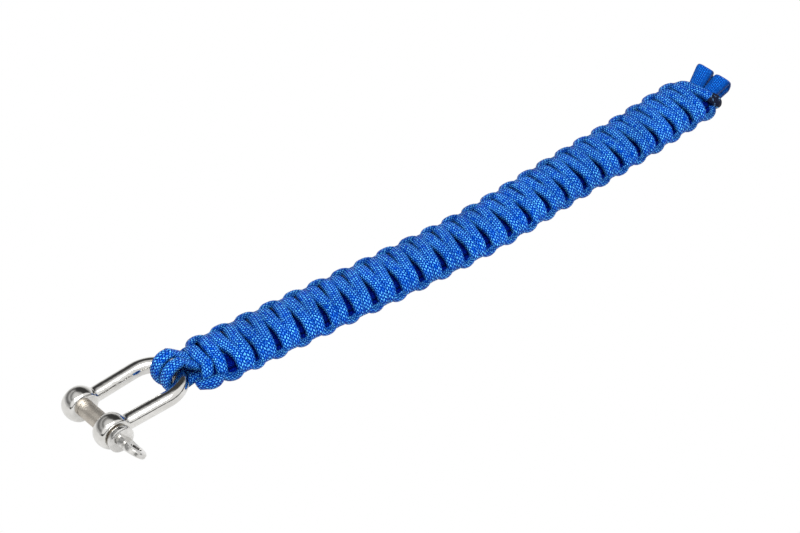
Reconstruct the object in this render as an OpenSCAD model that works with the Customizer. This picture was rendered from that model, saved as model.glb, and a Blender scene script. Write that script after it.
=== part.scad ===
// Open bracelet of square-knotted cord with a screw-pin shackle, lying flat on a surface.
// X runs along the band from the shackle to the end loops, Y across it, Z up.
// The origin is on the surface, below the middle of the bracelet's box.

/* [Weave] */
// Length of one full knot, which is two crossings of the working cord
knot_len = 8.6; // [8:0.1:10]
// Number of half knots in the band
half_knots = 49; // [21:2:61]
// Width of the band over the bumps on its edges
band_w = 21.4; // [20:0.2:24]
// Thickness of the band over both faces
band_t = 9.2; // [8.6:0.1:10]
// Depth of the grooves between neighbouring crossings on the two faces
groove_d = 1.5; // [0.8:0.1:2]
// Depth of the notches between neighbouring bumps on the two edges
notch_d = 1.3; // [0.6:0.1:2]
// How far the knots lean along the band, from its near edge to its far edge
weave_lean = 3; // [0:0.5:4]
// How far the first bump on the near edge reaches past the band's end
first_bump = 2.4; // [0:0.1:2.6]
// How much narrower the band is at its ends, as a share of its width
end_taper = 0.2; // [0:0.05:0.25]

/* [Lie] */
// How far the band bows sideways over its length
bow_d = 4; // [0:0.5:8]
// Twist of the band at the end with the loops, in degrees
end_roll = 4; // [0:0.5:6]

/* [Shackle cords] */
// Width of a core cord where it turns round the shackle
core_w = 4.5; // [4.2:0.1:4.6]
// Thickness of a core cord where it turns round the shackle
core_t = 2.1; // [2:0.1:2.3]
// Gap between two core cords that lie side by side
core_gap = 0.2; // [0.1:0.1:0.3]
// Inner radius of the turn that the core cords take round the shackle
turn_r = 3.3; // [3.2:0.05:3.4]
// How far the shackle sits towards the far edge of the band
clasp_shift = 1.6; // [0:0.2:3]
// Angle of the shackle to the band, in degrees
clasp_yaw = 3.3; // [-5:0.1:5]

/* [Shackle bow] */
// Diameter of the bow's wire
wire_d = 4.9; // [4.2:0.1:5]
// Radius of the crown, to the middle of the wire
crown_r = 8.5; // [8.4:0.1:9.5]
// Length from the pin's axis to the middle of the crown's wire
bow_len = 28.4; // [24:0.2:36]
// Distance between the middles of the two ears
ear_pitch = 15.7; // [15:0.1:17]
// Diameter of the ears
ear_d = 10.8; // [10.6:0.1:12]
// Thickness of an ear along the pin
ear_t = 5.8; // [5:0.2:7]
// How far the middle of the crown hangs past the line on which the shackle swings
crown_set = 0.8; // [0.7:0.05:0.85]
// Gap between the crown and the middle of the band's end
crown_gap = 2.8; // [2.2:0.1:4]

/* [Pin] */
// Diameter of the pin's shaft
pin_d = 5.4; // [5:0.1:6]
// Running clearance between the shaft and the ears' holes, on the radius
pin_fit = 0.06; // [0.03:0.01:0.1]
// Chamfer on the tip of the shaft
tip_chamfer = 0.6; // [0.2:0.1:1]
// Diameter of the collar
collar_d = 8.2; // [7.4:0.2:10]
// Thickness of the collar
collar_t = 2.2; // [1.5:0.1:3]
// Gap between the collar and the ear
collar_gap = 0.6; // [0.1:0.1:1.2]
// Diameter of the flat eye
eye_d = 7.4; // [6:0.2:9]
// Thickness of the flat eye
eye_t = 2.2; // [2:0.1:3]
// Diameter of the hole in the eye
eye_hole_d = 3.4; // [2.4:0.1:4]
// Length of the neck from the collar to the middle of the eye
neck_len = 5.5; // [5:0.1:8]
// Width of the neck at the collar
neck_w = 5.4; // [4.4:0.1:6]
// Lean of the eye's face from level, in degrees
eye_lean = 48; // [0:2:90]

/* [End loops] */
// Reach of the end loops past the band
end_reach = 11; // [9:0.5:16]
// Height of an end loop over both runs of its cord
end_h = 5; // [5:0.1:6.4]
// Thickness of the cord in the end loops
end_t = 2.2; // [2:0.1:2.4]
// Width of an end loop's cord where it leaves the band
end_base_w = 5.4; // [4.8:0.1:6]
// Width of an end loop's cord at its fold
end_tip_w = 6.8; // [5:0.1:7.4]
// How far the end loops leave the band towards its far edge
end_shift = -0.6; // [-1:0.1:1]
// Turn of the end loops towards the far side, in degrees
end_yaw = 18; // [0:1:20]
// Rise of the end loops, in degrees
end_rise = 4; // [0:1:6]
// Spread of each end loop from the middle of the pair, in degrees
end_fan = 6.5; // [3:0.5:8]

/* [Cord end] */
// Width of the melted cord end
stub_w = 4.4; // [4:0.1:5.4]
// Thickness of the melted cord end
stub_t = 3.4; // [3:0.2:4.4]
// Length of the melted cord end past the last knot
stub_len = 2.4; // [2:0.1:4]

/* [Hidden] */
$fn = 64;

// Gap that keeps neighbouring pieces apart
seat_gap = 0.2;
// Far and near side of the bracelet
FAR = 1;
NEAR = -1;

cord_blue = [0.02, 0.22, 0.75];
melted_black = [0.04, 0.04, 0.07];
steel_grey = [0.72, 0.72, 0.7];

// Rings of the band's mesh in each half knot, and points round a ring
half_knot_rings = 4;
band_ring_pts = 20;
// Points round a single cord, and rings in its turn
cord_ring_pts = 12;
turn_rings = 16;
// Roundness of a section, where 2 is an ellipse
band_power = 2.3;
cord_power = 2;

// Side shift as shares of bow_d, at evenly spaced places from the band's start to its end
bow_share = [0.32, -0.14, -0.71, -0.95, -0.31, 0.25, 1];
// Twist as shares of end_roll, at the same places
roll_share = [-0.15, -0.35, -0.4, -0.25, 0.1, 0.6, 1];

half_len = knot_len / 2;
band_len = half_knots * half_len;
half_w = band_w / 2;
half_t = band_t / 2;
ear_r = ear_d / 2;
pin_r = pin_d / 2;
wire_r = wire_d / 2;

// Small functions
function unit(v) = v / norm(v);
function clamp(v) = min(max(v, 0), 1);
function smooth(a, b, v) = let (q = clamp((v - a) / (b - a))) q * q * (3 - 2 * q);
function bent(v, p) = sign(v) * pow(abs(v), p);

// Catmull-Rom value, at a share of the length, of a column with evenly spaced rows
function column_at(col, share) =
    let (n = len(col) - 1, q = clamp(share) * n, i = min(floor(q), n - 1), f = q - i,
         a = col[max(i - 1, 0)], b = col[i], c = col[i + 1], d = col[min(i + 2, n)])
    b + f / 2 * (c - a + f * (2 * a - 5 * b + 4 * c - d + f * (3 * b - a - 3 * c + d)));

// Points of a closed section with half width w, half height t and roundness p
function section(w, t, p, count) =
    [for (i = [0:count - 1]) let (th = 360 * (i + 0.5) / count)
        [w * bent(cos(th), 2 / p), t * bent(sin(th), 2 / p)]];

band_section = section(half_w, half_t, band_power, band_ring_pts);

// The band's middle line at length s: its twist, its height, its place and its directions
function roll_at(s) = end_roll * column_at(roll_share, s / band_len);
function lift_at(s) = let (r = roll_at(s)) max([for (q = band_section) q.x * sin(r) + q.y * cos(r)]);
function spine_at(s) = [s, bow_d * column_at(bow_share, s / band_len), lift_at(s)];
function heading_at(s) =
    let (d = spine_at(min(s + 0.5, band_len)) - spine_at(max(s - 0.5, 0)))
    unit([d.x, d.y, 0]);
function across_at(s) = let (h = heading_at(s), r = roll_at(s)) [-h.y * cos(r), h.x * cos(r), sin(r)];
function up_at(s) = cross(heading_at(s), across_at(s));

// The crossings zigzag over a face. They meet in pairs at the far edge where their count u is even,
// and at the near edge where it is odd. The under face is half a knot behind the upper one.
bar_slant = 0.35;
bar_half = 0.56;
function bar_place(k, v, face) = k + 0.5 - bar_slant * v * (k % 2 == 0 ? 1 : -1) * face;
function bar_rise(u, v, face) =
    let (k0 = floor(u),
         gap = min([for (k = [k0 - 1:k0 + 1]) abs(u - bar_place(k + 2, v, face) + 2)]))
    sqrt(max(0, 1 - pow(gap / bar_half, 2)));
// Bumps on an edge lie between the places where crossings meet
function bump_rise(u, edge) = pow(abs(edge == FAR ? sin(90 * u) : cos(90 * u)), 0.7);

// Depth of the surface below its smooth section, at count u and at a section point q
function sink_at(u, q) =
    let (v = q.x / half_w, face = q.y > 0 ? 1 : -1, edge = v > 0 ? FAR : NEAR,
         on_edge = smooth(0.72, 0.97, abs(v)))
    (1 - on_edge) * groove_d * (1 - bar_rise(u, v, face)) + on_edge * notch_d * (1 - bump_rise(u, edge));

// How far a ring's point is ahead of the middle line. The knots lean, but for the last one. The near
// edge's first bump reaches out beside the shackle's crown.
last_lean = -0.8;
function lean_at(s) = weave_lean * (1 + (last_lean - 1) * smooth(band_len - knot_len, band_len, s));
function ahead_at(s, v) =
    lean_at(s) / 2 * v - first_bump * smooth(-0.4, -0.75, v) * (1 - smooth(0, knot_len, s));

// The band draws in over the half knot at each end, in width and half as much in thickness
function draw_at(s) = 1 - end_taper * (1 - smooth(0, half_len, min(s, band_len - s)));

function band_ring(s) =
    let (p = spine_at(s), h = heading_at(s), a = across_at(s), b = up_at(s), u = s / half_len,
         w = draw_at(s))
    [for (q = band_section)
        let (n = unit([q.x / (half_w * half_w), q.y / (half_t * half_t)]), k = q - n * sink_at(u, q))
        p + a * k.x * w + b * k.y * (1 + w) / 2 + h * ahead_at(s, q.x / half_w)];

band_rings = [for (i = [0:half_knots * half_knot_rings]) band_ring(i * half_len / half_knot_rings)];

// A closed mesh through rings of points, whose ends are closed round their middle points
function middle(ring) = [for (i = [0:2]) [for (p = ring) p[i]] * [for (p = ring) 1] / len(ring)];
module skin(rings) {
    n = len(rings[0]);
    last = len(rings) - 1;
    ends = [middle(rings[0]), middle(rings[last])];
    start = n * len(rings);
    sides = [for (i = [0:last - 1]) for (j = [0:n - 1])
        let (a = i * n + j, b = i * n + (j + 1) % n)
        each [[a, b + n, b], [a, a + n, b + n]]];
    caps = [for (j = [0:n - 1]) let (k = (j + 1) % n)
        each [[start, j, k], [start + 1, last * n + k, last * n + j]]];
    polyhedron(points = concat([for (r = rings) each r], ends), faces = concat(sides, caps));
}

// The clasp's own axes: x from the pin to the band, y to the far side, and its origin on the line
// through the cords' turn on which the shackle swings
turn_out_r = turn_r + core_t;
swing_x = -(crown_set + wire_r + crown_gap);
swing = [swing_x, spine_at(0).y + clasp_shift, max(ear_r, turn_out_r)];
pin_x = crown_set - bow_len;
function clasp_point(p) = swing + [p.x * cos(clasp_yaw) - p.y * sin(clasp_yaw),
                                   p.x * sin(clasp_yaw) + p.y * cos(clasp_yaw), p.z];

// The cords stop short of the band's ends, which slant with the knots
end_gap = seat_gap + weave_lean / 4;

// A core cord's turn round the crown, past the top and the bottom, and its two runs to the band's end.
// The near cord stops before the first bump, which comes out between it and the near edge.
turn_mid_r = turn_r + core_t / 2;
turn_past = 28;
core_y = (core_w + core_gap) / 2;
function turn_ring(side, th) =
    [for (q = section(core_w / 2, core_t / 2, cord_power, cord_ring_pts))
        clasp_point([(turn_mid_r + q.y) * cos(th), side * core_y + q.x, (turn_mid_r + q.y) * sin(th)])];
function run_ring(ring, way, side) =
    let (h = heading_at(0), stop = spine_at(0) - h * (end_gap + (side == NEAR ? first_bump / 3 : 0)))
    [for (p = ring) p + way * ((stop - p) * h) / (way * h)];
function shackle_loop_rings(side) =
    let (step = (180 + 2 * turn_past) / turn_rings,
         turn = [for (i = [0:turn_rings]) turn_ring(side, 90 - turn_past + i * step)],
         level = clasp_point([1, 0, 0]) - clasp_point([0, 0, 0]), fall = [0, 0, tan(turn_past)])
    concat([run_ring(turn[0], level - fall, side)], turn, [run_ring(turn[turn_rings], level + fall, side)]);

// An end loop's cord: out over the top, round the fold and back below, spreading as it goes
end_rise_r = (end_h - end_t) / 2;
end_run = end_reach - end_rise_r - end_t / 2;
end_base_y = (end_base_w + core_gap) / 2;
end_path = concat(
    [for (x = [0, 0.5, 1]) [x * end_run, end_rise_r, 90]],
    [for (i = [1:turn_rings - 1]) let (th = 90 - 180 * i / turn_rings)
        [end_run + end_rise_r * cos(th), end_rise_r * sin(th), th]],
    [for (x = [1, 0.5, 0]) [x * end_run, -end_rise_r, -90]]);
function end_width(x) = end_base_w + (end_tip_w - end_base_w) * clamp(x / end_reach);
function end_side(x, side) = end_shift + side * end_base_y + x * tan(end_yaw + side * end_fan);
function end_point(x, y, z) = spine_at(band_len) + heading_at(band_len) * (x + end_gap)
    + across_at(band_len) * y + up_at(band_len) * (z + x * tan(end_rise));
function end_loop_rings(side) =
    [for (p = end_path)
        [for (q = section(end_width(p.x) / 2, end_t / 2, cord_power, cord_ring_pts))
            end_point(max(p.x + q.y * cos(p.z), 0), end_side(p.x, side) + q.x, p.y + q.y * sin(p.z))]];

// The melted cord end sits beside the end loops, past the last bump on the near edge
stub_out = 0.3;
stub_y = end_shift - 2 * end_base_y + core_gap / 2 - seat_gap - stub_w / 2;
stub_along = [0, 0.3, 0.6, 0.85, 1];
stub_swell = [0.86, 1, 0.98, 0.8, 0.5];
cord_end_rings = [for (i = [0:len(stub_along) - 1])
    [for (q = section(stub_w / 2, stub_t / 2, cord_power, cord_ring_pts) * stub_swell[i])
        end_point(stub_along[i] * stub_len + stub_out, stub_y + q.x, q.y)]];

// The middle of the bracelet's box, which the whole is moved to
skin_pts = [for (rings = [band_rings, end_loop_rings(FAR), end_loop_rings(NEAR), cord_end_rings])
    for (ring = rings) each ring];
eye_y = -(ear_pitch + ear_t) / 2 - collar_gap - collar_t - neck_len;
eye_mid = clasp_point([pin_x, eye_y, 0]);
eye_half_y = eye_d / 2 * norm([cos(clasp_yaw), cos(eye_lean) * sin(clasp_yaw)])
    + eye_t / 2 * sin(eye_lean) * abs(sin(clasp_yaw));
ear_x = [for (side = [FAR, NEAR]) clasp_point([pin_x, side * ear_pitch / 2, 0]).x - ear_r];
low = [min(ear_x), min(eye_mid.y - eye_half_y, min([for (p = skin_pts) p.y]))];
high = [max([for (p = skin_pts) p.x]), max([for (p = skin_pts) p.y])];
home = [-(low.x + high.x) / 2, -(low.y + high.y) / 2, 0];

module woven_band() {
    color(cord_blue) translate(home) skin(band_rings);
}

module shackle_loop(side) {
    color(cord_blue) translate(home) skin(shackle_loop_rings(side));
}

module end_loop(side) {
    color(cord_blue) translate(home) skin(end_loop_rings(side));
}

module cord_end() {
    color(melted_black) translate(home) skin(cord_end_rings);
}

module at_clasp() {
    translate(home + swing) rotate([0, 0, clasp_yaw]) children();
}

// A cylinder along the pin from y = from to y = to
module along_pin(from, to, r1, r2) {
    translate([pin_x, from, 0]) rotate([-90, 0, 0]) cylinder(h = to - from, r1 = r1, r2 = r2);
}

// A ball with two flat sides, on the pin's axis
module ear() {
    rotate([-90, 0, 0]) rotate_extrude() intersection() {
        circle(r = ear_r);
        translate([0, -ear_t / 2]) square([ear_r, ear_t]);
    }
}

// The legs run from the ears' middles to where they meet the crown's arc smoothly
crown_x = crown_set - crown_r;
leg_reach = norm([pin_x - crown_x, ear_pitch / 2]);
leg_len = sqrt(leg_reach * leg_reach - crown_r * crown_r);
crown_half = atan2(ear_pitch / 2, pin_x - crown_x) - acos(crown_r / leg_reach);

// A leg and the crown meet in a ball that is a hair wider than the wire. Both end inside the ball.
joint_step = 0.05;
joint_gap = 0.2;
crown_turn = crown_half - joint_gap / crown_r * 180 / PI;
module leg() {
    translate([crown_x, 0, 0]) rotate([0, 0, crown_half]) translate([crown_r, 0, 0]) {
        sphere(r = wire_r + joint_step);
        translate([0, joint_gap, 0]) rotate([-90, 0, 0]) cylinder(h = leg_len - joint_gap, r = wire_r);
    }
}

module crown() {
    translate([crown_x, 0, 0]) rotate([0, 0, -crown_turn])
        rotate_extrude(angle = 2 * crown_turn) translate([crown_r, 0]) circle(r = wire_r);
}

module shackle_bow() {
    outside = (ear_pitch + ear_t) / 2 + 1;
    color(steel_grey) at_clasp() difference() {
        union() {
            crown();
            leg();
            mirror([0, 1, 0]) leg();
            translate([pin_x, ear_pitch / 2, 0]) ear();
            translate([pin_x, -ear_pitch / 2, 0]) ear();
        }
        along_pin(-outside, outside, pin_r + pin_fit, pin_r + pin_fit);
    }
}

module flat_eye() {
    neck_at = neck_len + collar_t / 2;
    translate([pin_x, eye_y, 0]) rotate([0, eye_lean, 0]) difference() {
        translate([0, 0, -eye_t / 2]) linear_extrude(eye_t) union() {
            circle(d = eye_d);
            polygon([[-eye_d / 2, 0], [eye_d / 2, 0], [neck_w / 2, neck_at], [-neck_w / 2, neck_at]]);
        }
        translate([0, 0, -eye_t]) cylinder(h = 2 * eye_t, d = eye_hole_d);
    }
}

module shackle_pin() {
    tip_y = (ear_pitch + ear_t) / 2 - seat_gap;
    seat_y = -(ear_pitch + ear_t) / 2 - collar_gap;
    color(steel_grey) at_clasp() union() {
        along_pin(seat_y - collar_t / 2, tip_y - tip_chamfer, pin_r, pin_r);
        along_pin(tip_y - tip_chamfer, tip_y, pin_r, pin_r - tip_chamfer);
        along_pin(seat_y - collar_t, seat_y, collar_d / 2, collar_d / 2);
        flat_eye();
    }
}

woven_band();
shackle_loop(FAR);  // shackle_loop_far
shackle_loop(NEAR);  // shackle_loop_near
end_loop(FAR);  // end_loop_far
end_loop(NEAR);  // end_loop_near
cord_end();
shackle_bow();
shackle_pin();
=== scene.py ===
import math
import random

import bmesh
import bpy
import numpy as np
from mathutils import Matrix, Vector


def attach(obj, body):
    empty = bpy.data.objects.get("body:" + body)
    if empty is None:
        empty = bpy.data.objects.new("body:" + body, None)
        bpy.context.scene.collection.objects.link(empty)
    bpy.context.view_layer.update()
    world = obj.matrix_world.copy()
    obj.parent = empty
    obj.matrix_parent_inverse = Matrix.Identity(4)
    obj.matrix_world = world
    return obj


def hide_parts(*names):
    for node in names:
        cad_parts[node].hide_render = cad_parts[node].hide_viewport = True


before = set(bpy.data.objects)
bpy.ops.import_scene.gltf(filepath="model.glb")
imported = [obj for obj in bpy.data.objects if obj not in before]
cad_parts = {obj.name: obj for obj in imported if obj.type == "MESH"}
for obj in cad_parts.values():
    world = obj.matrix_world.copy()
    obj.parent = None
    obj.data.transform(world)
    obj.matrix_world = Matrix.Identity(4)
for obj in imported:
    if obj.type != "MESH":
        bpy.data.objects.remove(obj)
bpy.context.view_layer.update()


# Core cords. Two loops of 4 mm nylon cord lie side by side inside the band. Each is flattened where it turns
# round the shackle's crown, runs through all the knots and comes out as a folded end loop. The strands inside
# the band are given darker colours than the outer cords, a painted shade. All lengths are in millimetres
# until a mesh is made.
MM = 0.001
KNOT_LEN, HALF_KNOTS = 8.6, 49
HALF_KNOT = KNOT_LEN / 2
BAND_LEN = HALF_KNOT * HALF_KNOTS
HALF_W, HALF_T = 10.7, 4.6
WEAVE_LEAN, LAST_LEAN, FIRST_BUMP, FIRST_GAP, END_TAPER = 3.0, -0.8, 2.4, 1.7, 0.2
# The band's bow to the side in millimetres and its roll in degrees, and their shares along the band.
SIDE_BOW, END_ROLL = 4.0, 4.0
BOW_SHARE = (0.32, -0.14, -0.71, -0.95, -0.31, 0.25, 1)
ROLL_SHARE = (-0.15, -0.35, -0.4, -0.25, 0.1, 0.6, 1)
# Where the band starts on the table, and the middle of the shackle's crown wire inside the cord loops.
HOME = np.array([-91.623, 3.564, 0.0])
CLASP = np.array([-97.673, 6.444, 5.4])
CLASP_YAW = math.radians(3.3)
CORE_Y, TURN_R, TURN_HALF_T = 2.35, 4.35, 1.05
END_GAP, END_REACH, END_RISE_R, END_RUN = 0.95, 11.0, 1.4, 8.5
END_BASE_W, END_TIP_W, END_SHIFT, END_SLIT, END_HALF_T = 5.4, 6.8, -0.6, 0.2, 1.1
END_YAW, END_FAN, END_RISE = 18.0, 6.5, 4.0
SECTION_POWER, SECTION_STEPS, CORD_TIP = 2.3, 20, 0.002


def smooth(a, b, v):
    """0 before a, 1 after b and a smooth rise between them."""
    q = min(max((v - a) / (b - a), 0.0), 1.0)
    return q * q * (3 - 2 * q)


def share_at(col, share):
    """The value of a smooth curve through evenly spaced values, at a share of its length."""
    n = len(col) - 1
    q = min(max(share, 0.0), 1.0) * n
    i = min(int(q), n - 1)
    f = q - i
    a, b, c, d = col[max(i - 1, 0)], col[i], col[i + 1], col[min(i + 2, n)]
    return b + f / 2 * (c - a + f * (2 * a - 5 * b + 4 * c - d + f * (3 * b - a - 3 * c + d)))


def band_roll(s):
    """How far the band is rolled about its own length at length s."""
    return math.radians(END_ROLL * share_at(ROLL_SHARE, s / BAND_LEN))


def band_middle(s):
    """The point on the band's middle line at length s."""
    roll = band_roll(s)
    lift = 0.0
    for i in range(SECTION_STEPS):
        th = math.tau * (i + 0.5) / SECTION_STEPS
        y = HALF_W * math.copysign(abs(math.cos(th)) ** (2 / SECTION_POWER), math.cos(th))
        z = HALF_T * math.copysign(abs(math.sin(th)) ** (2 / SECTION_POWER), math.sin(th))
        lift = max(lift, y * math.sin(roll) + z * math.cos(roll))
    return np.array([s, SIDE_BOW * share_at(BOW_SHARE, s / BAND_LEN), lift])


def band_axes(s):
    """The directions along, across and up at length s."""
    near_s = min(max(s, 0.5), BAND_LEN - 0.5)
    d = band_middle(near_s + 0.5) - band_middle(near_s - 0.5)
    along = np.array([d[0], d[1], 0.0])
    along /= np.linalg.norm(along)
    roll = band_roll(s)
    across = np.array([-along[1] * math.cos(roll), along[0] * math.cos(roll), math.sin(roll)])
    return along, across, np.cross(along, across)


def band_point(u, y, z):
    """A place in the band: u counts half knots, y runs across it and z up from its middle."""
    s = u * HALF_KNOT
    along, across, up = band_axes(s)
    draw = 1 - END_TAPER * (1 - smooth(0, HALF_KNOT, min(s, BAND_LEN - s)))
    v = y / HALF_W
    lean = WEAVE_LEAN * (1 + (LAST_LEAN - 1) * smooth(BAND_LEN - KNOT_LEN, BAND_LEN, s))
    started = smooth(0, KNOT_LEN, s)
    ahead = lean / 2 * v - FIRST_BUMP * smooth(-0.4, -0.75, v) * (1 - started)
    ahead += FIRST_GAP * smooth(0.2, -0.7, v) * started * (1 - smooth(KNOT_LEN, 3 * KNOT_LEN, s))
    return HOME + band_middle(s) + across * y * draw + up * z * (1 + draw) / 2 + along * ahead


def band_key(u, y, z, face, half_w, half_t):
    """A key of a cord in the band. face is the angle in which the cord's flat side looks, 90 is up."""
    across, up = band_axes(u * HALF_KNOT)[1:]
    a = math.radians(face)
    return (*band_point(u, y, z), *(across * math.cos(a) + up * math.sin(a)), half_w, half_t)


def clasp_point(x, y, z):
    """A place in the shackle's own directions: x toward the band, y across it."""
    c, s = math.cos(CLASP_YAW), math.sin(CLASP_YAW)
    return CLASP + np.array([x * c - y * s, x * s + y * c, z])


def turn_key(side, angle, y, half_w, rise):
    """A key of a core cord's turn round the shackle's crown. rise lifts the turn's upper half."""
    a = math.radians(angle)
    height = TURN_R * math.sin(a) + rise * max(math.sin(a), 0)
    face = clasp_point(math.cos(a), 0, math.sin(a)) - CLASP
    return (*clasp_point(TURN_R * math.cos(a), side * y, height), *face, half_w, TURN_HALF_T)


def end_key(x, z, angle, side):
    """A key of an end loop, x along it from the band's end, z up from its middle."""
    along, across, up = band_axes(BAND_LEN)
    y = END_SHIFT + side * (END_BASE_W + END_SLIT) / 2 + x * math.tan(math.radians(END_YAW + side * END_FAN))
    place = (HOME + band_middle(BAND_LEN) + along * (x + END_GAP) + across * y
             + up * (z + x * math.tan(math.radians(END_RISE))))
    a = math.radians(angle)
    half_w = (END_BASE_W + (END_TIP_W - END_BASE_W) * min(max(x / END_REACH, 0), 1)) / 2
    return (*place, *(along * math.cos(a) + up * math.sin(a)), half_w, END_HALF_T)


def cord_line(keys, step):
    """A smooth line through a cord's keys, as rows of place, face, half width and half thickness. Both
    ends close to a point."""
    keys = np.array(keys, float)
    rows = []
    for i in range(len(keys) - 1):
        a, b = keys[max(i - 1, 0)], keys[i]
        c, d = keys[i + 1], keys[min(i + 2, len(keys) - 1)]
        count = max(1, math.ceil(np.linalg.norm(c[:3] - b[:3]) / step))
        for f in np.arange(count) / count:
            rows.append(b + f / 2 * (c - a + f * (2 * a - 5 * b + 4 * c - d
                                                  + f * (3 * b - a - 3 * c + d))))
    rows = np.array(rows + [keys[-1]])
    rows[[0, -1], 6:8] = CORD_TIP
    return rows


def add_object(name, data):
    """A new object in the scene."""
    thing = bpy.data.objects.new(name, data)
    bpy.context.scene.collection.objects.link(thing)
    return thing


def cord_guide(name, rows):
    """The cord's line as a mesh of edges that carries its directions, sizes and length."""
    place, face = rows[:, :3], rows[:, 3:6]
    run = np.gradient(place, axis=0)
    run /= np.linalg.norm(run, axis=1)[:, None]
    wide = np.cross(run, face)
    wide /= np.linalg.norm(wide, axis=1)[:, None]
    face = np.cross(wide, run)
    along = np.concatenate([[0], np.cumsum(np.linalg.norm(np.diff(place, axis=0), axis=1))])
    mesh = bpy.data.meshes.new(name)
    mesh.from_pydata((place * MM).tolist(), [(i, i + 1) for i in range(len(rows) - 1)], [])
    for key, kind, field, values in (
            ("wide_dir", "FLOAT_VECTOR", "vector", wide), ("face_dir", "FLOAT_VECTOR", "vector", face),
            ("half_width", "FLOAT", "value", rows[:, 6] * MM),
            ("half_thick", "FLOAT", "value", rows[:, 7] * MM), ("along", "FLOAT", "value", along)):
        mesh.attributes.new(key, kind, "POINT").data.foreach_set(
            field, np.ascontiguousarray(values, np.float32).ravel())
    return add_object(name, mesh)


def tree_node(tree, kind, links=None, values=None, **settings):
    """A node with its settings, its plain input values and its incoming links."""
    node = tree.nodes.new(kind)
    for key, value in settings.items():
        setattr(node, key, value)
    for key, value in (values or {}).items():
        node.inputs[key].default_value = value
    for key, source in (links or {}).items():
        tree.links.new(source, node.inputs[key])
    return node


def calculator(tree):
    """Returns a function that adds a Math node to the tree and gives its result."""
    def calc(operation, *values):
        node = tree.nodes.new("ShaderNodeMath")
        node.operation = operation
        for i, value in enumerate(values):
            if isinstance(value, (int, float)):
                node.inputs[i].default_value = value
            else:
                tree.links.new(value, node.inputs[i])
        return node.outputs[0]

    return calc


def cord_sweep_tree():
    """Sweeps a flattened round section along a cord's guide, with the cord's own UV map."""
    tree = bpy.data.node_groups.new("cord_sweep", "GeometryNodeTree")
    tree.interface.new_socket("Guide", in_out="INPUT", socket_type="NodeSocketGeometry")
    points = tree.interface.new_socket("Section points", in_out="INPUT", socket_type="NodeSocketInt")
    points.default_value = 18
    power = tree.interface.new_socket("Roundness", in_out="INPUT", socket_type="NodeSocketFloat")
    power.default_value = 2.2
    tree.interface.new_socket("Sheath", in_out="INPUT", socket_type="NodeSocketMaterial")
    tree.interface.new_socket("Cord", in_out="OUTPUT", socket_type="NodeSocketGeometry")
    given = tree.nodes.new("NodeGroupInput")

    def named(name, kind):
        return tree_node(tree, "GeometryNodeInputNamedAttribute", values={"Name": name},
                         data_type=kind).outputs["Attribute"]

    calc = calculator(tree)
    line = tree_node(tree, "GeometryNodeMeshToCurve", {"Mesh": given.outputs["Guide"]})
    place = tree.nodes.new("GeometryNodeInputPosition")
    kept = tree_node(tree, "GeometryNodeStoreNamedAttribute",
                     {"Geometry": line.outputs["Curve"], "Value": place.outputs[0]},
                     {"Name": "centre"}, data_type="FLOAT_VECTOR", domain="POINT")
    ring = tree_node(tree, "GeometryNodeMeshLine",
                     {"Count": calc("ADD", given.outputs["Section points"], 1)},
                     {"Offset": (0.001, 0, 0)})
    index = tree.nodes.new("GeometryNodeInputIndex")
    round_share = calc("DIVIDE", index.outputs[0], given.outputs["Section points"])
    ring_kept = tree_node(tree, "GeometryNodeStoreNamedAttribute",
                          {"Geometry": ring.outputs["Mesh"], "Value": round_share},
                          {"Name": "around"}, data_type="FLOAT", domain="POINT")
    ring_line = tree_node(tree, "GeometryNodeMeshToCurve", {"Mesh": ring_kept.outputs["Geometry"]})
    swept = tree_node(tree, "GeometryNodeCurveToMesh",
                      {"Curve": kept.outputs["Geometry"], "Profile Curve": ring_line.outputs["Curve"]})
    around = named("around", "FLOAT")
    angle = calc("MULTIPLY", around, math.tau)
    shape = calc("DIVIDE", 2.0, given.outputs["Roundness"])

    def bent(wave):
        return calc("MULTIPLY", calc("SIGN", wave), calc("POWER", calc("ABSOLUTE", wave), shape))

    out_wide = calc("MULTIPLY", bent(calc("COSINE", angle)), named("half_width", "FLOAT"))
    out_face = calc("MULTIPLY", bent(calc("SINE", angle)), named("half_thick", "FLOAT"))
    wide = tree_node(tree, "ShaderNodeVectorMath",
                     {0: named("wide_dir", "FLOAT_VECTOR"), "Scale": out_wide}, operation="SCALE")
    face = tree_node(tree, "ShaderNodeVectorMath",
                     {0: named("face_dir", "FLOAT_VECTOR"), "Scale": out_face}, operation="SCALE")
    off = tree_node(tree, "ShaderNodeVectorMath", {0: wide.outputs[0], 1: face.outputs[0]}, operation="ADD")
    full = tree_node(tree, "ShaderNodeVectorMath",
                     {0: named("centre", "FLOAT_VECTOR"), 1: off.outputs[0]}, operation="ADD")
    shaped = tree_node(tree, "GeometryNodeSetPosition",
                       {"Geometry": swept.outputs["Mesh"], "Position": full.outputs[0]})
    uv = tree_node(tree, "ShaderNodeCombineXYZ", {"X": around, "Y": named("along", "FLOAT")})
    mapped = tree_node(tree, "GeometryNodeStoreNamedAttribute",
                       {"Geometry": shaped.outputs["Geometry"], "Value": uv.outputs[0]},
                       {"Name": "UVMap"}, data_type="FLOAT2", domain="CORNER")
    closed = tree_node(tree, "GeometryNodeMergeByDistance", {"Geometry": mapped.outputs["Geometry"]},
                       {"Distance": 0.000008})
    smoothed = tree_node(tree, "GeometryNodeSetShadeSmooth", {"Geometry": closed.outputs["Geometry"]})
    whole = tree_node(tree, "GeometryNodeRealizeInstances", {"Geometry": smoothed.outputs["Geometry"]})
    dressed = tree_node(tree, "GeometryNodeSetMaterial",
                        {"Geometry": whole.outputs["Geometry"], "Material": given.outputs["Sheath"]})
    result = tree.nodes.new("NodeGroupOutput")
    tree.links.new(dressed.outputs["Geometry"], result.inputs["Cord"])
    return tree


CORD_SWEEP = cord_sweep_tree()


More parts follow.
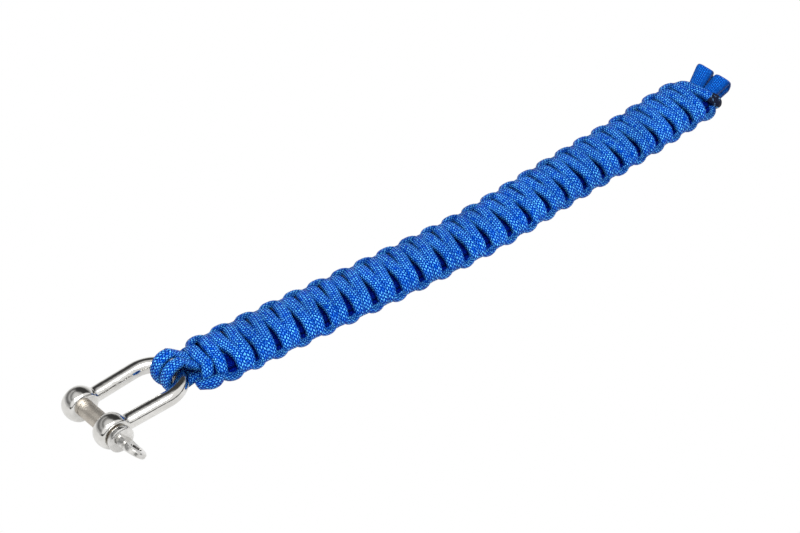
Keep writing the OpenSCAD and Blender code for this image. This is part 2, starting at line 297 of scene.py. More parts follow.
def sweep_cord(name, lines, sheath, section_points=18, roundness=2.2):
    """Makes one object of the cords along these lines. Only the UV map is kept of their attributes."""
    sockets = {item.name: item.identifier for item in CORD_SWEEP.interface.items_tree}
    cord = None
    for number, rows in enumerate(lines):
        guide = cord_guide(f"{name}_guide_{number}", rows)
        modifier = guide.modifiers.new("cord_sweep", "NODES")
        modifier.node_group = CORD_SWEEP
        modifier[sockets["Section points"]] = section_points
        modifier[sockets["Roundness"]] = roundness
        modifier[sockets["Sheath"]] = sheath
        settled = guide.evaluated_get(bpy.context.evaluated_depsgraph_get())
        shape = bpy.data.meshes.new_from_object(settled)
        bpy.data.objects.remove(guide)
        skin = bmesh.new()
        skin.from_mesh(shape)
        if skin.calc_volume(signed=True) < 0:
            bmesh.ops.reverse_faces(skin, faces=skin.faces)
        if cord is None:
            cord = skin
        else:
            skin.to_mesh(shape)
            cord.from_mesh(shape)
    for key in ("centre", "wide_dir", "face_dir", "half_width", "half_thick", "along", "around"):
        for layers in (cord.verts.layers.float, cord.verts.layers.float_vector):
            layer = layers.get(key)
            if layer:
                layers.remove(layer)
    mesh = bpy.data.meshes.new(name)
    cord.to_mesh(mesh)
    mesh.materials.append(sheath)
    return add_object(name, mesh)


def noise(tree, place, scale, detail):
    """The values of a noise texture at a place."""
    return tree_node(tree, "ShaderNodeTexNoise", {"Vector": place},
                     {"Scale": scale, "Detail": detail}).outputs[0]


def remap(tree, value, from_range=(0.0, 1.0), to_range=(0.0, 1.0), **settings):
    """Maps one range of values to another."""
    return tree_node(tree, "ShaderNodeMapRange", {"Value": value},
                     {"From Min": from_range[0], "From Max": from_range[1],
                      "To Min": to_range[0], "To Max": to_range[1]}, **settings).outputs[0]


CORD_WEAVE = {"Columns": 16.0, "Pitch": 0.95, "Slant": 0.55, "Groove": 4.0}
STRETCHED_WEAVE = {"Columns": 44.0, "Pitch": 1.0, "Slant": 0.4, "Groove": 2.0}


def braid_group():
    """Herringbone rows of yarn on a cord's sheath, from its UV map: x once round, y in millimetres. Besides
    the yarns' height it gives masks for painted highlights on the yarn crowns and painted shade at the cord's
    wide edges.
    """
    tree = bpy.data.node_groups.new("sheath_braid", "ShaderNodeTree")
    for name, value in CORD_WEAVE.items():
        tree.interface.new_socket(name, in_out="INPUT", socket_type="NodeSocketFloat").default_value = value
    for name in ("Height", "Yarn", "Painted highlight", "Patch", "Painted edge shade"):
        tree.interface.new_socket(name, in_out="OUTPUT", socket_type="NodeSocketFloat")
    given = tree.nodes.new("NodeGroupInput")
    calc = calculator(tree)
    uv = tree_node(tree, "ShaderNodeUVMap", uv_map="UVMap")
    split = tree_node(tree, "ShaderNodeSeparateXYZ", {0: uv.outputs[0]})
    place = tree.nodes.new("ShaderNodeTexCoord").outputs["Object"]
    column = calc("MULTIPLY", split.outputs["X"], given.outputs["Columns"])
    across = calc("SUBTRACT", calc("FRACT", column), 0.5)
    parity = calc("FLOORED_MODULO", calc("FLOOR", column), 2.0)
    way = calc("MULTIPLY_ADD", parity, 2.0, -1.0)
    row = calc("DIVIDE", split.outputs["Y"], given.outputs["Pitch"])
    row = calc("MULTIPLY_ADD", parity, 0.5, row)
    row = calc("MULTIPLY_ADD", calc("MULTIPLY", way, across), given.outputs["Slant"], row)
    row = calc("MULTIPLY_ADD", calc("SUBTRACT", noise(tree, place, 420.0, 1.0), 0.5), 0.35, row)
    off = calc("MULTIPLY", calc("ABSOLUTE", calc("SUBTRACT", calc("FRACT", row), 0.5)), 2.0)
    bead = calc("SUBTRACT", 1.0, calc("MULTIPLY", off, off))
    side = calc("POWER", calc("MULTIPLY", calc("ABSOLUTE", across), 2.0), given.outputs["Groove"])
    height = calc("MULTIPLY", bead, calc("SUBTRACT", 1.0, side))
    # Painted highlight: the crowns of the yarns where this noise is high get a lighter colour, standing for
    # light glancing off them.
    lit = remap(tree, noise(tree, place, 900.0, 2.0), (0.35, 0.62))
    painted_highlight = calc("MULTIPLY", remap(tree, height, (0.68, 1.0)), lit)
    # Painted shade: a mask for the cord's wide edges, where its section turns away and is darkened.
    wide = calc("ABSOLUTE", calc("COSINE", calc("MULTIPLY", split.outputs["X"], math.tau)))
    result = tree.nodes.new("NodeGroupOutput")
    for name, source in (("Height", height), ("Yarn", remap(tree, height, (0.05, 0.6))), ("Painted highlight", painted_highlight),
                         ("Patch", noise(tree, place, 90.0, 2.0)), ("Painted edge shade", remap(tree, wide, (0.74, 1.0)))):
        tree.links.new(source, result.inputs[name])
    return tree


SHEATH_BRAID = braid_group()


def bare_material(name):
    """A new material and its empty node tree."""
    material = bpy.data.materials.new(name)
    material.use_nodes = True
    material.node_tree.nodes.clear()
    return material, material.node_tree


def mix_colours(tree, share, a, b):
    """Mixes two colours, each a plain colour or the output of a node."""
    node = tree_node(tree, "ShaderNodeMix", {"Factor": share}, data_type="RGBA")
    for key, value in (("A", a), ("B", b)):
        if isinstance(value, tuple):
            node.inputs[key].default_value = (*value, 1)
        else:
            tree.links.new(value, node.inputs[key])
    return node.outputs["Result"]


def show(tree, shader):
    """Links a shader to a material's output."""
    tree.links.new(shader.outputs[0], tree.nodes.new("ShaderNodeOutputMaterial").inputs[0])


def sheath_material(name, groove_shade_colour, blue, highlight_colour, weave=CORD_WEAVE):
    """Nylon sheath: blue yarns, with painted shade darkening the grooves between them, painted highlights as
    light flecks on their crowns and painted shade on the cord's wide edges.
    """
    material, tree = bare_material(name)
    braid = tree_node(tree, "ShaderNodeGroup", values=weave, node_tree=SHEATH_BRAID)
    # Painted shade: the grooves between the yarns get a darker blue.
    yarns = mix_colours(tree, braid.outputs["Yarn"], groove_shade_colour, blue)
    # Painted highlight: a lighter colour on the yarn crowns.
    highlighted_yarns = mix_colours(tree, braid.outputs["Painted highlight"], yarns, highlight_colour)
    tone = remap(tree, braid.outputs["Patch"], (0.3, 0.7), (0.82, 1.12))
    # Painted shade: the colour is darkened toward the cord's wide edges.
    painted_rim_shade = tree_node(tree, "ShaderNodeMapRange", {"Value": braid.outputs["Painted edge shade"], "To Min": tone},
                    {"To Max": 0.48})
    toned = tree_node(tree, "ShaderNodeVectorMath", {0: highlighted_yarns, "Scale": painted_rim_shade.outputs[0]}, operation="SCALE")
    bumps = tree_node(tree, "ShaderNodeBump", {"Height": braid.outputs["Height"]},
                      {"Strength": 0.9, "Distance": 0.00022})
    show(tree, tree_node(tree, "ShaderNodeBsdfPrincipled",
                         {"Base Color": toned.outputs[0], "Normal": bumps.outputs[0],
                          "Roughness": remap(tree, braid.outputs["Yarn"], to_range=(0.75, 0.42))},
                         {"Specular IOR Level": 0.2, "Specular Tint": (0.03, 0.35, 1.0, 1)}))
    return material


blue_sheath = sheath_material("blue_sheath", (0.0001, 0.002, 0.10), (0.0001, 0.060, 0.46),
                              (0.15, 0.63, 1.0))
stretched_sheath = sheath_material("stretched_sheath", (0.0004, 0.012, 0.15), (0.001, 0.085, 0.45),
                                   (0.02, 0.28, 0.90), STRETCHED_WEAVE)
# Painted shade: a darker copy of the blue sheath for the strands inside the band.
shaded_sheath = sheath_material("shaded_sheath", (0.0, 0.0008, 0.05), (0.0, 0.002, 0.13),
                                (0.0, 0.012, 0.22))
CORD_STEP, STRAND_STEP = 0.6, 2.5
CORE_Z, CORE_HALF_T, OUTLET_Y = 0.9, 0.9, 2.6
ENTRY, OUTLET, RUN_SHARES = (3.0, 2.0, 1.1, 0.5), (46.0, 47.0, 48.0, 48.7), (0.0, 0.25, 0.5, 0.75, 1)
# Each side's label, the turn's distance from the middle, half width and rise, and its strands' places.
CORE_SIDES = ((1, "far", (2.5, 2.3, 0.6), ((2.45, 0.9), (2.45, -0.9), (5.2, 0.3), (6.2, -1.0))),
              (-1, "near", (CORE_Y, 2.25, 0.2), ((2.45, 0.9), (2.45, -0.9), (5.2, 0.3), (6.5, -1.0))))


def band_run(marks, y, z, face, half_w):
    """The keys of a straight run of cord in the band, at these counts of half knots."""
    return [band_key(u, y, z, face, half_w, CORE_HALF_T) for u in marks]


for side, label, turn, strands in CORE_SIDES:
    keys = band_run(ENTRY, side * CORE_Y, CORE_Z, 90, 2.2)
    keys += [turn_key(side, a, *turn) for a in range(62, 299, 12)]
    keys += band_run(ENTRY[::-1], side * CORE_Y, -CORE_Z, 270, 2.2)
    shackle_turn = cord_line(keys, CORD_STEP)
    keys = band_run(OUTLET, side * OUTLET_Y, CORE_Z, 90, 2.4)
    keys += [end_key(x * END_RUN, END_RISE_R, 90, side) for x in RUN_SHARES]
    for angle in range(75, -90, -15):
        a = math.radians(angle)
        keys.append(end_key(END_RUN + END_RISE_R * math.cos(a), END_RISE_R * math.sin(a), angle, side))
    keys += [end_key(x * END_RUN, -END_RISE_R, -90, side) for x in RUN_SHARES[::-1]]
    keys += band_run(OUTLET[::-1], side * OUTLET_Y, -CORE_Z, 270, 2.4)
    end_turn = cord_line(keys, CORD_STEP)
    marks = np.linspace(0.3, 48.6, HALF_KNOTS)
    through = [cord_line(band_run(marks, side * y, z, 90, 2.3), STRAND_STEP) for y, z in strands]
    if side > 0:  # a short extra strand in the darker core sheath, a painted shade that fills the gap inside the first far bump
        through.append(cord_line(band_run((0.7, 1.2, 1.7), 8.0, -0.4, 90, 1.3), 0.5))
    core = sweep_cord(f"core_cord_{label}", through, shaded_sheath, 14)
    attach(core, "strap")
    loop = sweep_cord(f"shackle_cord_{label}", [shackle_turn], blue_sheath, 20)
    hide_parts(f"shackle_loop_{label}")
    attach(loop, "strap")
    loop = sweep_cord(f"end_cord_{label}", [end_turn], stretched_sheath, 24, 3.4)
    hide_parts(f"end_loop_{label}")
    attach(loop, "strap")


# Front cord. It crosses the band's upper face once in each half knot. At each edge it turns under the
# back cord's bump and starts the next crossing, so its crossings meet in pairs at the edges.
# A key of a leg: distance before or after the turn in half knots, y, z, face, half width, half thickness.
bar_drift = random.Random(11)
DRIFT, SWELL = 0.03, 0.04
NEAR_LEG = ((0.00, -6.9, -2.7, 238, 1.75, 1.15), (0.20, -8.1, -1.8, 215, 1.75, 1.15),
            (0.32, -8.9, -0.5, 185, 1.8, 1.2), (0.34, -8.5, 1.0, 160, 1.85, 1.25),
            (0.35, -7.2, 2.3, 130, 1.95, 1.35), (0.37, -4.9, 2.95, 105, 2.05, 1.4),
            (0.43, -2.3, 3.1, 95, 2.15, 1.45))
FAR_LEG = ((0.00, 8.9, -0.5, -8, 1.75, 1.15), (0.22, 8.5, 0.3, 10, 1.75, 1.15),
           (0.36, 7.6, 1.2, 35, 1.9, 1.2), (0.40, 6.3, 2.15, 60, 2.1, 1.3),
           (0.43, 4.4, 2.8, 76, 2.2, 1.4), (0.46, 2.2, 3.05, 86, 2.2, 1.45))


def crossing(k, start, end, middle):
    """The keys of one crossing from its start edge to its end edge, without the last turn."""
    shift = bar_drift.uniform(-DRIFT, DRIFT)
    swell = bar_drift.uniform(1 - SWELL, 1 + SWELL)
    keys = [(k + d, *rest) for d, *rest in start]
    keys += [(k + 0.5 + shift, *middle)]
    keys += [(k + 1 - d, *rest) for d, *rest in reversed(end[1:])]
    return [band_key(u + shift * (1 - abs(y) / HALF_W), y, z, face, w * swell, t)
            for u, y, z, face, w, t in keys]


front_keys = [band_key(-0.30, 0.0, -3.1, 270, 2.0, 1.2), band_key(-0.28, 4.5, -2.7, 285, 1.9, 1.2),
              band_key(-0.22, 7.4, -1.4, 320, 1.8, 1.2), band_key(-0.10, 8.3, 0.4, 10, 1.8, 1.2)]
for k in range(HALF_KNOTS):
    legs = (FAR_LEG, NEAR_LEG) if k % 2 == 0 else (NEAR_LEG, FAR_LEG)
    if k < 2:  # the first near edge is drawn in beside the shackle
        tucked = [(d, y + 1.1 * smooth(-3.0, -7.0, y), z - 0.2, *rest) for d, y, z, *rest in NEAR_LEG]
        legs = (FAR_LEG[2:], tucked) if k == 0 else (tucked, FAR_LEG)
    front_keys += crossing(k, *legs, (0.0, 3.15, 90, 2.2, 1.45))
CUT_KEYS = 3  # the last crossing stops short of its turn, where the melted end follows
front_cord = sweep_cord("front_cord", [cord_line(front_keys[:-CUT_KEYS], CORD_STEP)], blue_sheath)
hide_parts("woven_band")
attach(front_cord, "strap")


# Back cord. It is the other half of the same working cord. It crosses the under face, comes up inside
# the front cord's turn at an edge, runs over the next crossings' ends as a side bump and goes down again.
NEAR_ARCH = ((0.00, -9.3, -1.8, 217, 1.9, 1.15), (0.33, -9.0, -1.6, 215, 1.9, 1.15),
             (0.58, -8.0, -1.0, 205, 1.8, 1.15), (0.70, -6.7, -0.8, 200, 1.8, 1.1),
             (0.70, -5.9, -1.3, 225, 1.8, 1.1), (0.64, -4.2, -2.5, 255, 1.9, 1.3),
             (0.57, -2.2, -3.0, 265, 2.1, 1.4))
FAR_ARCH = ((0.00, 8.3, 2.0, 48, 2.5, 1.15), (0.33, 8.2, 1.85, 46, 2.45, 1.15),
            (0.55, 7.8, 1.1, 30, 2.1, 1.15), (0.70, 7.2, -0.4, -10, 1.8, 1.1),
            (0.68, 6.2, -1.8, -45, 1.8, 1.15), (0.62, 4.4, -2.75, -76, 1.9, 1.3),
            (0.56, 2.2, -3.05, -86, 2.1, 1.4))
FIRST_ARCH = ((0.44, -8.8, -0.5, 182, 2.1, 1.15), (0.70, -9.2, -0.2, 177, 2.3, 1.2),
              (1.00, -9.1, -0.3, 178, 2.2, 1.2), (1.25, -8.3, -0.6, 188, 2.0, 1.15),
              (1.30, -6.9, -1.2, 210, 1.8, 1.1), (1.15, -5.6, -2.0, 235, 1.8, 1.1),
              (0.90, -4.2, -2.6, 255, 1.9, 1.3), (0.65, -2.2, -3.0, 265, 2.1, 1.4))
back_keys = [(*band_point(u, y, z), *face, w, 1.15) for u, y, z, face, w in
             ((0.95, -5.2, -0.9, (-0.95, -0.1, 0), 1.7), (0.50, -6.4, -0.9, (-0.93, -0.35, 0), 1.8),
              (0.28, -7.7, -0.8, (-0.85, -0.5, 0), 2.0))]
for c in range(HALF_KNOTS):
    arch, after = (NEAR_ARCH, FAR_ARCH) if c % 2 == 0 else (FAR_ARCH, NEAR_ARCH)
    drift = bar_drift.uniform(-DRIFT, DRIFT)
    bump = arch if c else FIRST_ARCH
    back_keys += [band_key(c + d + drift, y, z, face, w, t) for d, y, z, face, w, t in bump]
    back_keys += [band_key(c + 0.5, 0.0, -3.1, 270, 2.2, 1.45)]
    if c < HALF_KNOTS - 1:
        back_keys += [band_key(c + 1 - d, y, z, face, w, t) for d, y, z, face, w, t in reversed(after[1:])]
back_cord = sweep_cord("back_cord", [cord_line(back_keys, CORD_STEP)], blue_sheath)
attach(back_cord, "strap")


# Melted cord end. The front cord's tail is cut off past the last knot and its nylon is melted to a nearly
# black, lumpy bead, so that the knot can't come undone. Its few lighter specks are painted highlights, glints
# of light on the lumps.
melted_nylon, tree = bare_material("melted_nylon")
lumps = noise(tree, tree.nodes.new("ShaderNodeTexCoord").outputs["Object"], 900.0, 3.0)
burnt = mix_colours(tree, lumps, (0.0005, 0.001, 0.006), (0.004, 0.008, 0.03))
# Painted highlight: sparse lighter specks where the lumps rise.
burnt_with_painted_glints = mix_colours(tree, remap(tree, lumps, (0.6, 0.68)), burnt, (0.10, 0.22, 0.42))
bumps = tree_node(tree, "ShaderNodeBump", {"Height": lumps}, {"Strength": 1.0, "Distance": 0.0009})
show(tree, tree_node(tree, "ShaderNodeBsdfPrincipled",
                     {"Base Color": burnt_with_painted_glints, "Normal": bumps.outputs[0],
                      "Roughness": remap(tree, lumps, to_range=(0.25, 0.55))}, {"Specular IOR Level": 0.08}))
# The bead reaches further across the band's end than the melted end alone. There its dark colour is a painted
# shade for the gap between the last bar and the end loops.
stub_keys = [band_key(48.66, -5.6, 2.5, 118, 1.7, 1.1), band_key(48.72, -6.8, 2.3, 125, 2.1, 1.4),
             band_key(48.82, -8.2, 1.6, 140, 2.3, 1.6), band_key(48.90, -9.2, 0.6, 160, 2.3, 1.6),
             band_key(48.94, -9.6, -0.5, 172, 2.1, 1.5), band_key(48.95, -9.6, -1.4, 180, 1.4, 1.0),
             band_key(48.95, -9.6, -1.8, 180, 0.1, 0.1)]
melted_end = sweep_cord("melted_end", [cord_line(stub_keys, 0.2)], melted_nylon, 20)
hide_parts("cord_end")
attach(melted_end, "strap")


# Shackle bow. Stainless wire of 4.9 mm, forged into a bow with a ball ear at each end. The wire and the
# ears are fused and smoothed into one skin, drilled for the pin and polished.
WIRE_R, CROWN_R, EAR_Y, EAR_R, EAR_HALF_T = 2.45, 8.5, 7.85, 5.4, 2.9
EAR_FACE_R, EAR_RIM_R, EAR_EASE = 3.9, 4.3, 0.1
CROWN_SET, PIN_X, PIN_R, PIN_PLAY = 0.8, -27.6, 2.7, 0.06
WIRE_SIDES, TURNED_SIDES, CROWN_STEPS, BALL_STEPS = 48, 64, 49, 25
FUSE_VOXEL, CUTTER_HALF_LEN = 0.0003, 14


def scratch_group():
    """Fine drawn lines and soft smears in a polished surface. Stretch sets the lines' direction."""
    tree = bpy.data.node_groups.new("metal_polish", "ShaderNodeTree")
    for name, value in (("Stretch", (60, 900, 900)), ("Turn", (0, 0, 0))):
        tree.interface.new_socket(name, in_out="INPUT", socket_type="NodeSocketVector").default_value = value
    for name in ("Lines", "Smear"):
        tree.interface.new_socket(name, in_out="OUTPUT", socket_type="NodeSocketFloat")
    given = tree.nodes.new("NodeGroupInput")
    place = tree.nodes.new("ShaderNodeTexCoord").outputs["Object"]
    laid = tree_node(tree, "ShaderNodeMapping", {"Vector": place, "Rotation": given.outputs["Turn"]})
    drawn = tree_node(tree, "ShaderNodeVectorMath", {0: laid.outputs[0], 1: given.outputs["Stretch"]},
                      operation="MULTIPLY")
    result = tree.nodes.new("NodeGroupOutput")
    tree.links.new(noise(tree, drawn.outputs[0], 4.0, 3.0), result.inputs["Lines"])
    tree.links.new(noise(tree, place, 300.0, 3.0), result.inputs["Smear"])
    return tree


METAL_POLISH = scratch_group()


def steel_material(name, shade, tint, rough, stretch, bump):
    """Stainless steel between a darker and a lighter tint, with fine lines and soft waves in its polish."""
    material, tree = bare_material(name)
    polish = tree_node(tree, "ShaderNodeGroup", values={"Stretch": stretch, "Turn": (0, 0, -CLASP_YAW)},
                       node_tree=METAL_POLISH)
    bumps = tree_node(tree, "ShaderNodeBump", {"Height": polish.outputs["Lines"]},
                      {"Strength": 0.5, "Distance": bump})
    waves = tree_node(tree, "ShaderNodeBump", {"Height": polish.outputs["Smear"], "Normal": bumps.outputs[0]},
                      {"Strength": 1.0, "Distance": 0.0001})
    show(tree, tree_node(tree, "ShaderNodeBsdfPrincipled",
                         {"Base Color": mix_colours(tree, polish.outputs["Smear"], shade, tint),
                          "Roughness": remap(tree, polish.outputs["Lines"], to_range=rough),
                          "Normal": waves.outputs[0]}, {"Metallic": 1.0}))
    return material


bow_steel = steel_material("bow_steel", (0.50, 0.49, 0.46), (0.86, 0.85, 0.83), (0.05, 0.13),
                           (60, 900, 900), 0.00002)


def skin_rings(mesh, rings, closed_ends=True):
    """Adds a tube through rings of points to a bmesh."""
    loops = [[mesh.verts.new(Vector(p) * MM) for p in ring] for ring in rings]
    for a, b in zip(loops, loops[1:]):
        for i in range(len(a)):
            j = (i + 1) % len(a)
            mesh.faces.new((a[i], a[j], b[j], b[i]))
    if closed_ends:
        mesh.faces.new(list(reversed(loops[0])))
        mesh.faces.new(loops[-1])


PIN_AXIS = Vector(clasp_point(0, 1, 0) - CLASP)
PIN_SIDE = Vector(clasp_point(1, 0, 0) - CLASP)


def turned_rings(profile, base):
    """Rings of a shape turned round the pin's axis. The profile gives distances along it and radii."""
    third = PIN_AXIS.cross(PIN_SIDE)
    turns = [math.tau * i / TURNED_SIDES for i in range(TURNED_SIDES)]
    return [[tuple(Vector(base) + PIN_AXIS * h + (PIN_SIDE * math.cos(th) + third * math.sin(th)) * r)
             for th in turns] for h, r in profile]


def whole_mesh(name, skin):
    """Turns a bmesh's faces outward and makes it a mesh."""
    bmesh.ops.recalc_face_normals(skin, faces=skin.faces)
    mesh = bpy.data.meshes.new(name)
    skin.to_mesh(mesh)
    return mesh


CROWN_X = CROWN_SET - CROWN_R
reach = math.hypot(PIN_X - CROWN_X, EAR_Y)
crown_half = math.atan2(EAR_Y, PIN_X - CROWN_X) - math.acos(CROWN_R / reach)
wire_line = [(PIN_X, -EAR_Y)]
wire_line += [(CROWN_X + CROWN_R * math.cos(a), CROWN_R * math.sin(a))
              for a in np.linspace(-crown_half, crown_half, CROWN_STEPS)]
wire_line += [(PIN_X, EAR_Y)]
wire_rings = []
for i, (x, y) in enumerate(wire_line):
    a, b = wire_line[max(i - 1, 0)], wire_line[min(i + 1, len(wire_line) - 1)]
    way = Vector((b[0] - a[0], b[1] - a[1], 0)).normalized()
    out = Vector((way.y, -way.x, 0)) * WIRE_R
    up = Vector((0, 0, WIRE_R))
    wire_rings.append([tuple(clasp_point(*(Vector((x, y, 0)) + out * math.cos(th) + up * math.sin(th))))
                       for th in (math.tau * j / WIRE_SIDES for j in range(WIRE_SIDES))])
ball = [(h, math.sqrt(EAR_R ** 2 - h ** 2))
        for h in np.linspace(-EAR_HALF_T, EAR_HALF_T, BALL_STEPS)[1:-1]]
ear_profile = [(-EAR_HALF_T, EAR_FACE_R), (-EAR_HALF_T + EAR_EASE, EAR_RIM_R), *ball,
               (EAR_HALF_T - EAR_EASE, EAR_RIM_R), (EAR_HALF_T, EAR_FACE_R)]
forged = bmesh.new()
skin_rings(forged, wire_rings)
for side in (-1, 1):
    skin_rings(forged, turned_rings(ear_profile, clasp_point(PIN_X, side * EAR_Y, 0)))
bow = add_object("steel_bow", whole_mesh("shackle_steel_bow", forged))
drill = bmesh.new()
skin_rings(drill, turned_rings([(end * CUTTER_HALF_LEN, PIN_R + PIN_PLAY) for end in (-1, 1)],
                               clasp_point(PIN_X, 0, 0)))
cutter = add_object("bore_cutter", whole_mesh("bore_cutter", drill))
fused = bow.modifiers.new("fuse", "REMESH")
fused.mode, fused.voxel_size = "VOXEL", FUSE_VOXEL
eased = bow.modifiers.new("ease", "SMOOTH")
eased.factor, eased.iterations = 0.5, 10
bored = bow.modifiers.new("bore", "BOOLEAN")
bored.operation, bored.object, bored.solver = "DIFFERENCE", cutter, "EXACT"
bow_shape = bpy.data.meshes.new_from_object(bow.evaluated_get(bpy.context.evaluated_depsgraph_get()))
bow.modifiers.clear()
bow.data = bow_shape
bpy.data.objects.remove(cutter)
bow_shape.materials.clear()
bow_shape.materials.append(bow_steel)
bow_shape.shade_smooth()
bow_shape.set_sharp_from_angle(angle=math.radians(40))
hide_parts("shackle_bow")
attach(bow, "shackle")


# Screw pin. Turned stainless steel: a plain shaft through both ears, a collar that stops at the near
# ear, and a flat drilled eye to turn it by.
pin_steel = steel_material("pin_steel", (0.40, 0.36, 0.31), (0.66, 0.62, 0.56), (0.38, 0.55),
                           (900, 40, 900), 0.00003)
collar_steel = steel_material("collar_steel", (0.36, 0.35, 0.33), (0.92, 0.91, 0.89), (0.10, 0.30),
                              (500, 500, 500), 0.00006)
# Painted shade: a nearly black steel for the walls of the eye's hole, standing for the shade inside it.
hole_shade_steel = steel_material("hole_shade_steel", (0.02, 0.02, 0.02), (0.10, 0.095, 0.09), (0.35, 0.6),
                            (500, 500, 500), 0.00003)
COLLAR_R, COLLAR_T, EYE_R, EYE_HOLE_R, NECK_HALF_W = 4.1, 2.2, 3.7, 1.7, 2.7
EYE_REACH, EYE_HALF_T, NECK_EXTRA_T, EYE_LEAN = 5.5, 0.8, 0.5, math.radians(48)
TIP_Y = EAR_Y + EAR_HALF_T - 0.2
SEAT_Y = -(EAR_Y + EAR_HALF_T) - 0.6
COLLAR_END = SEAT_Y - COLLAR_T
NECK_LEN = EYE_REACH + COLLAR_T / 2
SHAFT_START = EYE_REACH + COLLAR_T - 0.01
NECK_TURN, TIP_TURN = 0.18, 0.5
turned = bmesh.new()
skin_rings(turned, turned_rings(
    ((COLLAR_END, 3.3), (COLLAR_END + 0.12, 3.75), (COLLAR_END + 0.45, COLLAR_R),
     (SEAT_Y - 0.45, COLLAR_R), (SEAT_Y - 0.12, 3.9), (SEAT_Y, 3.5), (SEAT_Y + 0.02, PIN_R),
     (TIP_Y - 0.6, PIN_R), (TIP_Y, PIN_R - 0.6)), clasp_point(PIN_X, 0, 0)))
eye_side = Vector(clasp_point(math.cos(EYE_LEAN), 0, -math.sin(EYE_LEAN)) - CLASP)
eye_up = Vector(clasp_point(math.sin(EYE_LEAN), 0, math.cos(EYE_LEAN)) - CLASP)
eye_middle = Vector(clasp_point(PIN_X, COLLAR_END - EYE_REACH, 0))
eye_turns = [math.tau * i / TURNED_SIDES for i in range(TURNED_SIDES)]


def eye_edge(th):
    """The flat eye's outline, round at its tip and drawn in to a straight neck that enters the collar."""
    turn = math.remainder(th - math.pi / 2, math.tau) / math.pi
    if abs(turn) > TIP_TURN:
        return EYE_R * math.cos(th), EYE_R * math.sin(th)
    if abs(turn) < NECK_TURN:
        return -NECK_HALF_W * turn / NECK_TURN, NECK_LEN
    y = NECK_LEN * (TIP_TURN - abs(turn)) / (TIP_TURN - NECK_TURN)
    return math.copysign(EYE_R - (EYE_R - NECK_HALF_W) * smooth(0, 3.4, y), -turn), y


def eye_place(x, y, height):
    """A place in the eye: x across it, y toward the collar and height off its middle plane."""
    return tuple(eye_middle + eye_side * x + PIN_AXIS * y + eye_up * height)


def edge_ring(level, size):
    """A ring along the eye's outline. level is its share of the half thickness, which grows to the neck."""
    edges = [eye_edge(th) for th in eye_turns]
    return [eye_place(x * size, y * size, level * (EYE_HALF_T + NECK_EXTRA_T * smooth(-EYE_R, EYE_REACH, y)))
            for x, y in edges]


def hole_ring(radius, height):
    """A ring round the eye's hole."""
    return [eye_place(radius * math.cos(th), radius * math.sin(th), height) for th in eye_turns]


mouth_r = EYE_HOLE_R * 1.05
skin_rings(turned, [hole_ring(mouth_r, -1), edge_ring(-1, 0.92), edge_ring(-0.55, 1), edge_ring(0.55, 1),
                    edge_ring(1, 0.92), hole_ring(mouth_r, 1), hole_ring(EYE_HOLE_R, 0.7),
                    hole_ring(EYE_HOLE_R, -0.7), hole_ring(mouth_r, -1)], closed_ends=False)
bmesh.ops.remove_doubles(turned, verts=turned.verts, dist=1e-6)
pin_mesh = whole_mesh("steel_pin", turned)
for steel in (pin_steel, collar_steel, hole_shade_steel):
    pin_mesh.materials.append(steel)
pin_mesh.shade_smooth()
for face in pin_mesh.polygons:
    around = face.center / MM - eye_middle
    across, ahead = around.dot(eye_side), around.dot(PIN_AXIS)
    if ahead < SHAFT_START:
        face.material_index = 1
    # The hole's faces get the nearly black steel, a painted shade.
    if max(abs(across), abs(ahead)) < EYE_HOLE_R and math.hypot(across, ahead) < EYE_HOLE_R + 0.05:
        face.material_index = 2
pin_mesh.set_sharp_from_angle(angle=math.radians(35))
pin = add_object("steel_pin", pin_mesh)
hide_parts("shackle_pin")
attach(pin, "pin")


# Setting. A table that the camera sees as plain white paper, one large soft lamp above it, and a studio
# for the steel to reflect: dark behind the object, mixed at its sides and bright in front of it.
TABLE_HALF = 3
floor_mesh = bpy.data.meshes.new("floor")
floor_mesh.from_pydata([(-TABLE_HALF, -TABLE_HALF, 0), (TABLE_HALF, -TABLE_HALF, 0),
                        (TABLE_HALF, TABLE_HALF, 0), (-TABLE_HALF, TABLE_HALF, 0)], [], [(0, 1, 2, 3)])
floor = add_object("floor", floor_mesh)
paper, tree = bare_material("white_paper")
ray = tree.nodes.new("ShaderNodeLightPath")
seen = calculator(tree)("MULTIPLY_ADD", ray.outputs["Is Glossy Ray"], 0.7, ray.outputs["Is Camera Ray"])
bright = tree_node(tree, "ShaderNodeEmission", values={"Color": (1, 1, 1, 1), "Strength": 1.0})
matt = tree_node(tree, "ShaderNodeBsdfDiffuse", values={"Color": (0.6, 0.6, 0.6, 1)})
show(tree, tree_node(tree, "ShaderNodeMixShader", {"Fac": seen, 1: matt.outputs[0], 2: bright.outputs[0]}))
floor_mesh.materials.append(paper)

sky = bpy.data.worlds.new("studio")
bpy.context.scene.world = sky
sky.use_nodes = True
tree = sky.node_tree
tree.nodes.clear()
look = tree_node(tree, "ShaderNodeSeparateXYZ",
                 {0: tree.nodes.new("ShaderNodeTexCoord").outputs["Generated"]})


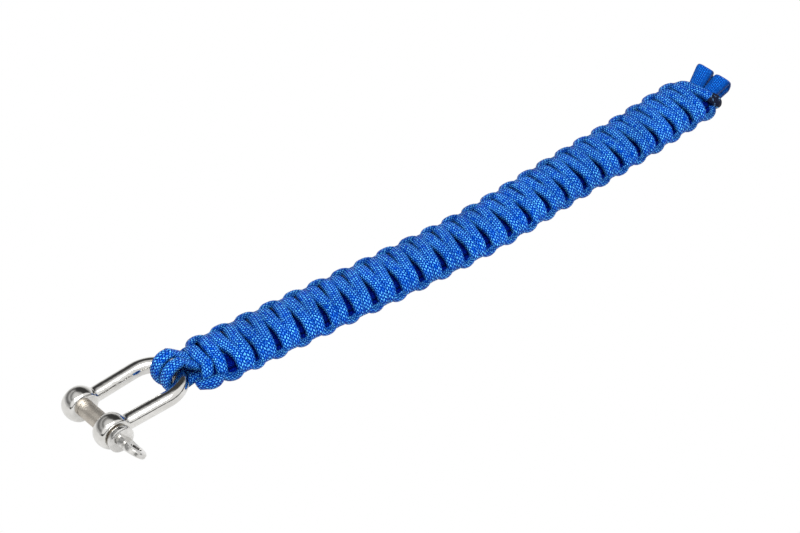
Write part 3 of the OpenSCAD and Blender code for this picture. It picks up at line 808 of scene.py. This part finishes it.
def sky_ramp(stops):
    """A ramp of greys over the height that a ray looks in."""
    node = tree_node(tree, "ShaderNodeValToRGB", {"Fac": look.outputs["Z"]})
    while len(node.color_ramp.elements) < len(stops):
        node.color_ramp.elements.new(0.5)
    for element, (at, tone) in zip(node.color_ramp.elements, stops):
        element.position, element.color = at, (tone, tone, tone, 1)
    return node.outputs[0]


behind = sky_ramp(((0.0, 0.8), (0.18, 0.55), (0.34, 0.07), (0.55, 0.05), (0.84, 0.07), (0.92, 0.6),
                   (1.0, 0.9)))
beside = sky_ramp(((0.0, 0.8), (0.2, 0.5), (0.34, 0.16), (0.5, 0.3), (0.62, 0.62), (0.74, 0.2),
                   (0.88, 0.7), (1.0, 0.9)))
before = sky_ramp(((0.0, 0.35), (0.05, 0.04), (0.16, 0.04), (0.26, 1.0), (0.9, 1.1), (1.0, 0.9)))
toward = remap(tree, look.outputs["Y"], (0.12, -0.06), interpolation_type="SMOOTHSTEP")
across_sky = remap(tree, look.outputs["X"], (0.02, 0.34), interpolation_type="SMOOTHSTEP")
sky_tone = mix_colours(tree, toward, mix_colours(tree, across_sky, beside, behind), before)
air = tree_node(tree, "ShaderNodeBackground", {"Color": sky_tone}, {"Strength": 1.0})
tree.links.new(air.outputs[0], tree.nodes.new("ShaderNodeOutputWorld").inputs[0])

lamp_data = bpy.data.lights.new("soft_lamp", "AREA")
lamp_data.shape, lamp_data.size, lamp_data.size_y, lamp_data.energy = "RECTANGLE", 1.2, 0.6, 17
lamp = add_object("soft_lamp", lamp_data)
lamp.location = (-0.15, -0.45, 1.0)
lamp.rotation_euler = (-lamp.location).to_track_quat("-Z", "Y").to_euler()

camera_data = bpy.data.cameras.new("camera")
camera_data.sensor_width, camera_data.lens = 36.0, 90.216
camera_data.clip_start, camera_data.clip_end = 0.01, 20
camera = add_object("camera", camera_data)
right = Vector((0.7827133, -0.6210597, -0.0405557))
up = Vector((0.4153572, 0.4727183, 0.7771845))
back = Vector((-0.4635065, -0.6251578, 0.6279645))
stand = Vector((-304.8745, -387.304, 395.3203)) * MM
camera.matrix_world = Matrix.Translation(stand) @ Matrix((right, up, back)).transposed().to_4x4()
bpy.context.scene.camera = camera
bpy.context.scene.view_settings.view_transform = "Standard"

bpy.context.view_layer.update()
